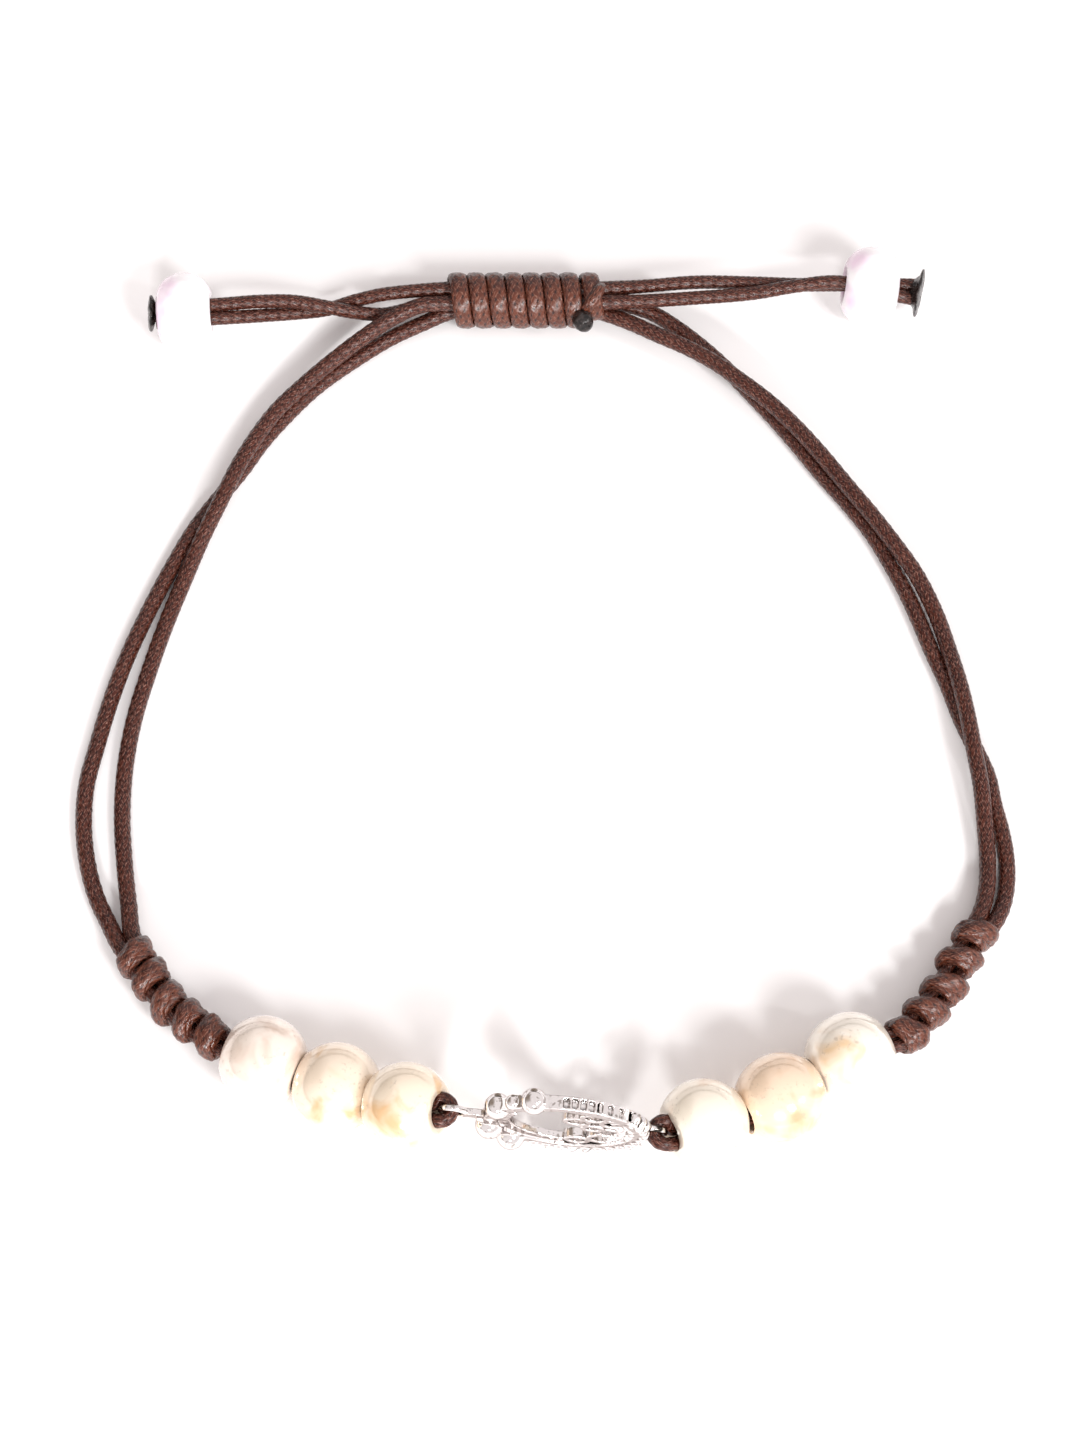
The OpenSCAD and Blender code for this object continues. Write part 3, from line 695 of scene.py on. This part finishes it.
# Free cords: the four strands, with what is on the far end of each
for node_name, route in STRANDS.items():
    line = spline(route, RING_STEP)
    path = line[:, :3]
    parts = braided(path, upward(path), line[:, 3] + RELIEF, line[:, 3] + RELIEF)
    strand = mesh_piece(node_name + "_braid", *parts)
    dress(strand, cord_look, "cord", node_name)

# Beads, and the mouths of their holes: at the end beads, beside the connector, and elsewhere
BEAD_D = 0.006
BORE_D = 0.0022
MOUTH_D = 0.003
OUTER_D = 0.0023
INNER_D = 0.0026
# Pearls: centre, heading and rise of the hole, distance to the left and right faces,
# and diameters of the left and right mouths.
PEARLS = {
    "pearl_1": ((-0.0185, -0.0278, 0.003), -23, 3.5, (0.002475, 0.00261), (INNER_D, INNER_D)),
    "pearl_2": ((-0.0136, -0.02975, 0.0033), -21, 11, (0.00244, 0.00257), (INNER_D, INNER_D)),
    "pearl_3": ((-0.00895, -0.0316, 0.0048), -13, 20.5, (0.0023, 0.0024), (INNER_D, OUTER_D)),
    "pearl_4": ((0.01037, -0.03265, 0.00462), 22.5, -12.5, (0.00238, 0.00262), (OUTER_D, INNER_D)),
    "pearl_5": ((0.01554, -0.03057, 0.00368), 28, -8, (0.00287, 0.0026), (INNER_D, INNER_D)),
    "pearl_6": ((0.0203, -0.02755, 0.003), 29, -4, (0.00289, 0.00254), (INNER_D, INNER_D)),
}
# End beads: centre, heading and rise of the hole, length along it
END_BEADS = {
    "end_bead_left": ((-0.0266, 0.0303, 0.003), 3, 0, 0.0042),
    "end_bead_right": ((0.02435, 0.0326, 0.003), -5, -4, 0.0042),
}
BEAD_ROWS = 64
BEAD_TURNS = 96
FACE_ROUND = 0.00012
BEAD_SWELL = 0.006
BEAD_SWELL_SCALE = 420


def ball_half(reach, mouth_d):
    """Half outline of a ball with a flat face, from its middle to the face, lengthened if need be."""
    radius = BEAD_D / 2
    shift = max(0, reach - math.sqrt(radius**2 - (INNER_D / 2) ** 2))
    flat = math.asin((reach - shift) / radius)
    rows = [(radius * math.cos(lean), shift + radius * math.sin(lean))
            for lean in np.linspace(0, flat, BEAD_ROWS // 2)]
    edge_r = rows[-1][0]
    if edge_r > mouth_d / 2 + FACE_ROUND:
        rows[-1] = (edge_r - 0.3 * FACE_ROUND, reach - 0.2 * FACE_ROUND)
        rows.append((edge_r - FACE_ROUND, reach))
    return rows


def oblate_half(length):
    """Half outline of a bead that is flattened along its hole, with a round edge."""
    round_r = length / 2
    centre = BEAD_D / 2 - round_r
    lean_end = math.acos((MOUTH_D / 2 - centre) / round_r)
    return [(centre + round_r * math.cos(lean), round_r * math.sin(lean))
            for lean in np.linspace(0, lean_end, BEAD_ROWS // 2)]


def flared(half, mouth_d):
    """The half outline, cut at the mouth and led through the flare into the bore."""
    rows = [row for row in half if row[0] > mouth_d / 2]
    dip = (mouth_d - BORE_D) / 2
    face = rows[-1][1]
    return rows + [(mouth_d / 2, face), (mouth_d / 2 - 0.25 * dip, face - 0.1 * dip),
                   (BORE_D / 2 + 0.2 * dip, face - 0.6 * dip), (BORE_D / 2, face - 1.3 * dip),
                   (BORE_D / 2, 0.3 * face)]


def bead(name, at, turn, rise, left, right):
    """A drilled bead from its two half outlines."""
    axis, side, up = axis_of(turn, rise)
    profile = [(radius, -along) for radius, along in reversed(left)] + right[1:]
    count = len(profile)
    points = []
    faces = []
    for k in range(BEAD_TURNS):
        angle = 2 * math.pi * k / BEAD_TURNS
        out = math.cos(angle) * side + math.sin(angle) * up
        after = (k + 1) % BEAD_TURNS
        for i, (radius, along) in enumerate(profile):
            place = Vector(at) + radius * out + along * axis
            swell = BEAD_SWELL * radius * noise.noise(place * BEAD_SWELL_SCALE)
            points.append(place + swell * out)
            above = (i + 1) % count
            faces.append([k * count + i, after * count + i,
                          after * count + above, k * count + above])
    return mesh_piece(name + "_shell", np.array(points), faces)


for node_name, (at, turn, rise, reaches, mouths) in PEARLS.items():
    left, right = (flared(ball_half(*pair), pair[1]) for pair in zip(reaches, mouths))
    look = pearl_material(node_name + "_lustre", *PEARL_LOOKS[node_name])
    dress(bead(node_name, at, turn, rise, left, right), look, "pearl", node_name)
for node_name, (at, turn, rise, length) in END_BEADS.items():
    half = flared(oblate_half(length), MOUTH_D)
    dress(bead(node_name, at, turn, rise, half, half), white_look, "white_bead", node_name)

# Connector: where it stands, and the doubled cords that hold it
CONNECTOR_AT = np.array([0.0014, -0.0329, 0.00575])
CONNECTOR_YAW = math.radians(-6)
CONNECTOR_LEAN = math.radians(4)
# Loops: place of each along the connector, wire and radius
LOOP_U = {"left": -0.0073, "right": 0.0056}
LOOP_WIRE = 0.00045
LOOP_MID_R = 0.000825
BEND_PLAY = 0.00005
BEND_R = LOOP_WIRE / 2 + BEND_PLAY + SQUEEZED_D / 2
# Half the distance between the two cords of a pair, along it and at its mouth
LEG_GAP = 0.00052
MOUTH_GAP = 0.00054
# Lines midway between the two cords of each pair, from the first knot to the connector
CORES = {
    "left": [
        (-0.02745, -0.02015, 0.0015),
        (-0.0264, -0.0217, 0.0016),
        (-0.0251, -0.0234, 0.0018),
        (-0.0236, -0.0248, 0.0021),
        (-0.02195, -0.0261, 0.0025),
        (-0.0209, -0.0267, 0.00275),
        (-0.0185, -0.0278, 0.003),
        (-0.01605, -0.0288, 0.003),
        (-0.0136, -0.02975, 0.0033),
        (-0.01127, -0.03083, 0.00385),
        (-0.00895, -0.0316, 0.0048),
        (-0.0072, -0.03207, 0.00545),
    ],
    "right": [
        (0.02905, -0.01865, 0.0015),
        (0.02795, -0.0205, 0.0016),
        (0.0268, -0.0225, 0.0018),
        (0.0254, -0.0243, 0.0021),
        (0.024, -0.0259, 0.0025),
        (0.02266, -0.0264, 0.00282),
        (0.0203, -0.02755, 0.003),
        (0.01782, -0.02913, 0.00326),
        (0.01554, -0.03057, 0.00368),
        (0.0129, -0.03174, 0.00408),
        (0.01037, -0.03265, 0.00463),
        (0.00836, -0.03358, 0.00512),
    ],
}
loop_out = np.array([math.cos(CONNECTOR_YAW), math.sin(CONNECTOR_YAW), 0])
loop_front = np.array([math.cos(CONNECTOR_LEAN) * math.sin(CONNECTOR_YAW),
                       -math.cos(CONNECTOR_LEAN) * math.cos(CONNECTOR_YAW),
                       -math.sin(CONNECTOR_LEAN)])


def leg(core, side):
    """One cord of the pair, beside the core line."""
    core = np.array(core)
    across = units(np.cross([0.0, 0.0, 1.0], headings(core)))
    gap = np.full(len(core), LEG_GAP)
    gap[-1] = MOUTH_GAP
    return core + side * gap[:, None] * across


def bight(loop_u, out):
    """The half turn round the loop's wire."""
    wire_at = CONNECTOR_AT + (loop_u + out * LOOP_MID_R) * loop_out
    turns = np.radians(np.arange(-90, 91, 30))
    return [wire_at + BEND_R * (math.sin(turn) * loop_front - out * math.cos(turn) * loop_out)
            for turn in turns]


for side_name, out in (("left", -1), ("right", 1)):
    core = CORES[side_name]
    points = np.vstack([leg(core, -out), bight(LOOP_U[side_name], out), leg(core, out)[::-1]])
    path = spline(points, RING_STEP)
    parts = braided(path, upward(path), SQUEEZED_D, SQUEEZED_D)
    thread = mesh_piece("front_thread_" + side_name + "_braid", *parts)
    dress(thread, cord_look, "cord", "front_thread_" + side_name)

# Macrame knots: centre, heading and rise of the axis
KNOTS = {
    "left": [
        ((-0.0275, -0.0201, 0.0015), -55, 2),
        ((-0.0264, -0.0217, 0.0016), -54, 4),
        ((-0.0251, -0.0234, 0.0018), -48, 6),
        ((-0.0236, -0.0248, 0.0021), -41, 9),
        ((-0.02195, -0.0261, 0.0025), -33, 9),
    ],
    "right": [
        ((0.0291, -0.0186, 0.0015), 58.5, -2),
        ((0.02795, -0.0205, 0.0016), 59.5, -4),
        ((0.0268, -0.0225, 0.0018), 56, -6),
        ((0.0254, -0.0243, 0.0021), 50, -9),
        ((0.024, -0.0259, 0.0025), 36, -8),
    ],
}
# Lobes: radius of the turns, their change and their shift, and the cord's width and height
KNOT_R = 0.00098
KNOT_SWELL = 0.00014
KNOT_SHIFT = 0.00036
KNOT_W = 0.00112
KNOT_W_SWING = 0.00018
KNOT_H = 0.0008
KNOT_SAMPLES = 170
CRUMPLE_SEED = 11
CRUMPLE = 0.00017
CRUMPLE_SCALE = 1000
# Lean of the upper lobe, and which way the lower one peeks out
KNOT_LEAN = {"left": (-10, -1), "right": (-17, 1)}


def knot_path(row, lean, hand):
    """Two turns round the axis that cross over each other on one side."""
    at, turn, rise = row
    axis, side, up = (np.array(v) for v in axis_of(turn, rise))
    phi = np.linspace(0, 4 * math.pi, KNOT_SAMPLES, endpoint=False)
    swing = np.cos(phi / 2 - math.pi / 4)
    reach = KNOT_R + KNOT_SWELL * swing
    across = hand * reach * np.cos(phi)
    shift = hand * KNOT_SHIFT * np.cos(phi / 2 - math.pi / 2) + across * math.tan(math.radians(lean))
    out = np.outer(hand * np.cos(phi), side) + np.outer(np.sin(phi), up)
    path = np.array(at) + reach[:, None] * out + np.outer(shift, axis)
    return path, out, KNOT_W + KNOT_W_SWING * swing


def crumpled(points):
    """The points moved a little by a smooth noise, as pulled cord is uneven."""
    shifts = [noise.noise_vector(Vector(p) * CRUMPLE_SCALE) for p in points]
    return points + CRUMPLE * np.array(shifts)


noise.seed_set(CRUMPLE_SEED)
for side_name, rows in KNOTS.items():
    for number, row in enumerate(rows, 1):
        path, out, width = knot_path(row, *KNOT_LEAN[side_name])
        parts = braided(path, out, width, KNOT_H, closed=True, braid=TIGHT_BRAID)
        parts = (crumpled(parts[0]),) + parts[1:]
        node_name = f"{side_name}_knot_{number}"
        dress(mesh_piece(node_name + "_lobes", *parts), knot_look, "cord", node_name)

# Sliding knot: a flattened cord wound round the four strands
SLIDE_AT = np.array([-0.00145, 0.032, 0.0021])
WRAP_TURNS = 7.62
WRAP_START = -0.6
WRAP_PITCH = 0.00138
WRAP_R = 0.0018
WRAP_W = 0.00136
WRAP_H = 0.00062
WRAP_STEPS = 130
# The last turn stands apart from the others by a groove, which widens over part of a turn.
LAST_TURN = 6.75
LAST_GROOVE = 0.00016
GROOVE_SPREAD = 0.3
# Both ends of the cord sink inward over a part of a turn.
END_SINK = 0.0005
END_SPREAD = 0.2
WRAP_SQUARE = 0.85
WRAP_BRAID = (7, 0.0009)


def wrap_path():
    count = round(WRAP_TURNS * WRAP_STEPS)
    turn = np.linspace(0, WRAP_TURNS, count)
    phi = 2 * math.pi * turn + WRAP_START
    groove = LAST_GROOVE * np.clip((turn - LAST_TURN) / GROOVE_SPREAD, 0, 1)
    along = (turn - WRAP_TURNS / 2) * WRAP_PITCH + groove
    from_end = np.minimum(turn, WRAP_TURNS - turn)
    reach = WRAP_R - END_SINK * np.clip(1 - from_end / END_SPREAD, 0, 1)
    out = np.column_stack([np.zeros(count), np.cos(phi), np.sin(phi)])
    return SLIDE_AT + reach[:, None] * out + np.outer(along, [1, 0, 0]), out


TUCK = [
    # the cord's end over the last turn: place along the knot, rise over the front, distance
    (0.0057, 96, 0.0018),
    (0.0056, 80, 0.0022),
    (0.0053, 64, 0.00235),
    (0.0049, 50, 0.0023),
    (0.0046, 38, 0.0021),
]
TUCK_W = 0.00085
TUCK_H = 0.0005


def tuck_path():
    rows = []
    for along, rise, reach in TUCK:
        rise = math.radians(rise)
        rows.append(SLIDE_AT + np.array([along, -reach * math.cos(rise), reach * math.sin(rise)]))
    path = spline(rows, RING_STEP)
    away = path - SLIDE_AT
    return path, away * [0, 1, 1]


path, out = wrap_path()
wrap = braided(path, out, WRAP_W, WRAP_H, square=WRAP_SQUARE, braid=WRAP_BRAID)
path, out = tuck_path()
tuck = braided(path, out, TUCK_W, TUCK_H, braid=WRAP_BRAID)
dress(mesh_piece("sliding_knot_wraps", *joined([wrap, tuck])), knot_look, "cord", "sliding_knot")


# Burnt tip of the tucked end: centre, radius, and its lumps
TIP_AT = (0.00295, 0.0296, 0.0030)
TIP_R = 0.0008
TIP_SWELL = 0.12
TIP_LUMPS = 1800


def burnt_tip():
    mesh = bpy.data.meshes.new("knot_tip_drop")
    form = bmesh.new()
    bmesh.ops.create_icosphere(form, subdivisions=5, radius=TIP_R)
    for vertex in form.verts:
        vertex.co *= 1 + TIP_SWELL * noise.noise(vertex.co * TIP_LUMPS)
        vertex.co += Vector(TIP_AT)
    form.to_mesh(mesh)
    form.free()
    mesh.shade_smooth()
    return add_object("knot_tip_drop", mesh)


dress(burnt_tip(), melted_look, "melted_cord", "knot_tip")

# Connector: the casting is remeshed and smoothed in millimetres.
MM = 0.001
VOXEL = 0.06
SMOOTHINGS = 3
# Rim: its radius, and where its grains begin, how far apart they are and where they end
RIM_R = 0.0053
GRAIN_FIRST = math.radians(-114)
GRAIN_STEP = math.radians(9.8)
GRAIN_LAST = math.radians(36)
# Front grains: radius, distance from the middle and from the middle plane
GRAIN_R = 0.00036
GRAIN_REACH = 0.00516
GRAIN_FRONT = 0.00034


def cast_connector():
    """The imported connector's form with grains on its front, softened as a casting is."""
    form = bmesh.new()
    form.from_mesh(frame["nodes"]["connector"].data)
    for turn in np.arange(GRAIN_FIRST, GRAIN_LAST, GRAIN_STEP):
        across = math.cos(turn) * loop_out + math.sin(turn) * np.cross(loop_front, loop_out)
        middle = CONNECTOR_AT + GRAIN_REACH * across + GRAIN_FRONT * loop_front
        bmesh.ops.create_icosphere(form, subdivisions=3, radius=GRAIN_R,
                                   matrix=Matrix.Translation(middle))
    mesh = bpy.data.meshes.new("connector_casting")
    form.to_mesh(mesh)
    form.free()
    mesh.transform(Matrix.Scale(1 / MM, 4))
    piece = add_object("connector_casting", mesh)
    remesh = piece.modifiers.new("remesh", "REMESH")
    remesh.mode = "VOXEL"
    remesh.voxel_size = VOXEL
    smooth = piece.modifiers.new("smooth", "SMOOTH")
    smooth.factor = 0.5
    smooth.iterations = SMOOTHINGS
    graph = bpy.context.evaluated_depsgraph_get()
    made = bpy.data.meshes.new_from_object(piece.evaluated_get(graph))
    made.transform(Matrix.Scale(MM, 4))
    piece.modifiers.clear()
    piece.data = made
    made.shade_smooth()
    return piece


# Silver: its bright and its softer colour, a painted dark reflection on what faces back and up,
# tarnish in fine specks, and painted shade between the grains of the rim and in crevices of the given
# width
SILVER_BRIGHT = (0.95, 0.93, 0.92, 1.0)
SILVER_SOFT = (0.84, 0.8, 0.79, 1.0)
SILVER_EDGE = (0.42, 0.38, 0.37, 1.0)
SILVER_CLOUDS = 900.0
SILVER_DENTS = 1500.0
DENT_DEPTH = 0.00008
DARK_REFLECTION_SIDE = (0.0, 0.67, 0.74)
PAINTED_DARK_REFLECTION = (0.2, 0.17, 0.14, 1.0)
SPECK_TARNISH = (0.3, 0.26, 0.23, 1.0)
SPECK_SCALE = 3400.0
SPECK_SHARE = 0.75
RIM_PAINTED_SHADE = (0.05, 0.042, 0.036, 1.0)
CREVICE_PAINTED_SHADE = (0.04, 0.033, 0.03, 1.0)
CREVICE = 0.0003
# Painted shade in the gaps between the grains: over how much of the rim's edge it fades in
GAP_FADE = 0.0001
# Painted shadow in the crease behind the lowest grains: distance inside the rim, half width where it
# fades and is full, its middle, its half length where it fades and is full, and how far forward it
# begins
CREASE_IN = 0.00012
CREASE_FADE = 0.00012
CREASE_FULL = 0.00004
CREASE_MIDDLE = 0.0009
CREASE_ENDS = 0.0016
CREASE_BODY = 0.001
CREASE_FRONT = 0.0003


def painted_rim_shade(tree):
    """Painted shade in the gaps between the grains of the rim, and a painted shadow in the crease
    behind the lowest of them.
    """
    place = wire(tree, "TexCoord").outputs["Object"]
    from_middle = wire(tree, "VectorMath", {0: place, 1: tuple(CONNECTOR_AT)},
                       operation="SUBTRACT").outputs[0]
    right = dot(tree, from_middle, loop_out)
    front = dot(tree, from_middle, loop_front)
    rise = dot(tree, from_middle, np.cross(loop_front, loop_out))
    reach = calc(tree, "SQRT", calc(tree, "ADD", calc(tree, "MULTIPLY", right, right),
                                    calc(tree, "MULTIPLY", rise, rise)))
    angle = calc(tree, "ARCTAN2", rise, right)
    steps = calc(tree, "DIVIDE", calc(tree, "SUBTRACT", angle, GRAIN_FIRST), GRAIN_STEP)
    from_gap = away_from(tree, calc(tree, "FRACT", steps), 0.5)
    gap = product(tree, ramp(tree, from_gap, 0.18, 0.08),
                  ramp(tree, reach, RIM_R - GAP_FADE, RIM_R),
                  calc(tree, "LESS_THAN", angle, GRAIN_LAST),
                  calc(tree, "GREATER_THAN", angle, GRAIN_FIRST))
    from_crease = away_from(tree, reach, RIM_R - CREASE_IN)
    crease = product(tree, ramp(tree, from_crease, CREASE_FADE, CREASE_FULL),
                     ramp(tree, away_from(tree, right, CREASE_MIDDLE), CREASE_ENDS, CREASE_BODY),
                     calc(tree, "LESS_THAN", rise, 0.0),
                     calc(tree, "GREATER_THAN", front, CREASE_FRONT))
    return calc(tree, "MAXIMUM", gap, crease)


def silver_material():
    """Polished casting: bright where it stands proud, with painted shade in its crevices, a painted
    dark reflection on what faces back and up, and dark specks.
    """
    material, tree, surface = new_material("silver")
    cloud = object_noise(tree, SILVER_CLOUDS, 3.0)
    shade = blend_colours(tree, cloud, SILVER_BRIGHT, SILVER_SOFT)
    # Painted dark reflection on what faces back and up
    away = ramp(tree, turned_to(tree, DARK_REFLECTION_SIDE), 0.95, 0.98)
    shade = blend_colours(tree, away, shade, PAINTED_DARK_REFLECTION)
    specks = ramp(tree, object_noise(tree, SPECK_SCALE), 0.57, 0.68)
    shade = blend_colours(tree, calc(tree, "MULTIPLY", specks, SPECK_SHARE), shade, SPECK_TARNISH)
    # Painted shade between the grains of the rim and in the crease behind the lowest grains
    shade = blend_colours(tree, painted_rim_shade(tree), shade, RIM_PAINTED_SHADE)
    # Painted shade in crevices, darker where the place is more sheltered
    shelter = wire(tree, "AmbientOcclusion", {"Distance": CREVICE}).outputs["AO"]
    shade = blend_colours(tree, ramp(tree, shelter, 0.72, 0.46), shade, CREVICE_PAINTED_SHADE)
    feed(tree, surface, Base_Color=shade,
         Roughness=calc(tree, "MULTIPLY_ADD", cloud, 0.12, 0.03))
    surface.inputs["Metallic"].default_value = 1.0
    surface.inputs["Specular Tint"].default_value = SILVER_EDGE
    bumped(tree, surface, object_noise(tree, SILVER_DENTS), DENT_DEPTH, 0.5)
    return material


dress(cast_connector(), silver_material(), "silver", "connector")

# Floor, world and lights
FLOOR_R = 0.6
PAPER = (0.93, 0.92, 0.92, 1.0)
PAPER_PALE = (0.95, 0.94, 0.94, 1.0)
PAPER_CLOUDS = 60.0
LIGHTS = {
    # heading from +X, rise, distance, width, height, watts
    "key": (-54, 40, 0.9, 0.2, 0.2, 4.6),
    "glint_front": (-92, 27, 0.9, 0.16, 0.06, 4.6),
    "glint_right": (-20, 34, 0.9, 0.06, 0.06, 1.0),
}
# Surroundings: white all round, with a tan wall on the left and a dark gap above the sweep,
# which rises towards the back
STUDIO_WHITE = (0.92, 0.86, 0.855, 1.0)
WALL_TAN = (0.3, 0.245, 0.205, 1.0)
GAP_DARK = (0.05, 0.042, 0.036, 1.0)
SWEEP_TOP = 0.22
GAP_RISE = 0.1


def add_floor():
    mesh = bpy.data.meshes.new("floor")
    form = bmesh.new()
    bmesh.ops.create_circle(form, cap_ends=True, segments=96, radius=FLOOR_R)
    form.to_mesh(mesh)
    form.free()
    floor = add_object("floor", mesh)
    material, tree, surface = new_material("floor_paper")
    feed(tree, surface,
         Base_Color=blend_colours(tree, object_noise(tree, PAPER_CLOUDS), PAPER, PAPER_PALE))
    surface.inputs["Roughness"].default_value = 0.6
    surface.inputs["Specular IOR Level"].default_value = 0.2
    mesh.materials.append(material)


def add_lights():
    for name, (turn, rise, far, width, height, watts) in LIGHTS.items():
        data = bpy.data.lights.new(name, "AREA")
        data.shape = "RECTANGLE"
        data.size = width
        data.size_y = height
        data.energy = watts
        away = axis_of(turn, rise)[0]
        light = add_object(name, data)
        light.location = far * away
        light.rotation_euler = away.to_track_quat("Z", "Y").to_euler()


def add_world():
    world = bpy.data.worlds.new("studio")
    world.use_nodes = True
    tree = world.node_tree
    towards = wire(tree, "SeparateXYZ", {0: wire(tree, "TexCoord").outputs["Generated"]})
    right, back, up = (towards.outputs[axis] for axis in "XYZ")
    wall = product(tree, ramp(tree, right, -0.15, -0.7), ramp(tree, back, -0.55, 0.2),
                   ramp(tree, up, 0.95, 0.75))
    shade = blend_colours(tree, wall, STUDIO_WHITE, WALL_TAN)
    sweep = calc(tree, "MULTIPLY", calc(tree, "MAXIMUM", back, 0.0), SWEEP_TOP)
    level = calc(tree, "SUBTRACT", up, sweep)
    side = calc(tree, "SUBTRACT", calc(tree, "MULTIPLY", back, 0.75),
                calc(tree, "MULTIPLY", right, 0.65))
    gap = product(tree, ramp(tree, level, GAP_RISE, 0.75 * GAP_RISE), ramp(tree, side, -0.1, 0.3))
    shade = blend_colours(tree, gap, shade, GAP_DARK)
    shade = blend_colours(tree, ramp(tree, level, 0.01, -0.01), shade, STUDIO_WHITE)
    tree.links.new(shade, tree.nodes["Background"].inputs["Color"])
    bpy.context.scene.world = world
    bpy.context.scene.view_settings.view_transform = "Standard"


add_floor()
add_lights()
add_world()


def corners(box):
    return [[float(value) for value in corner] for corner in box]
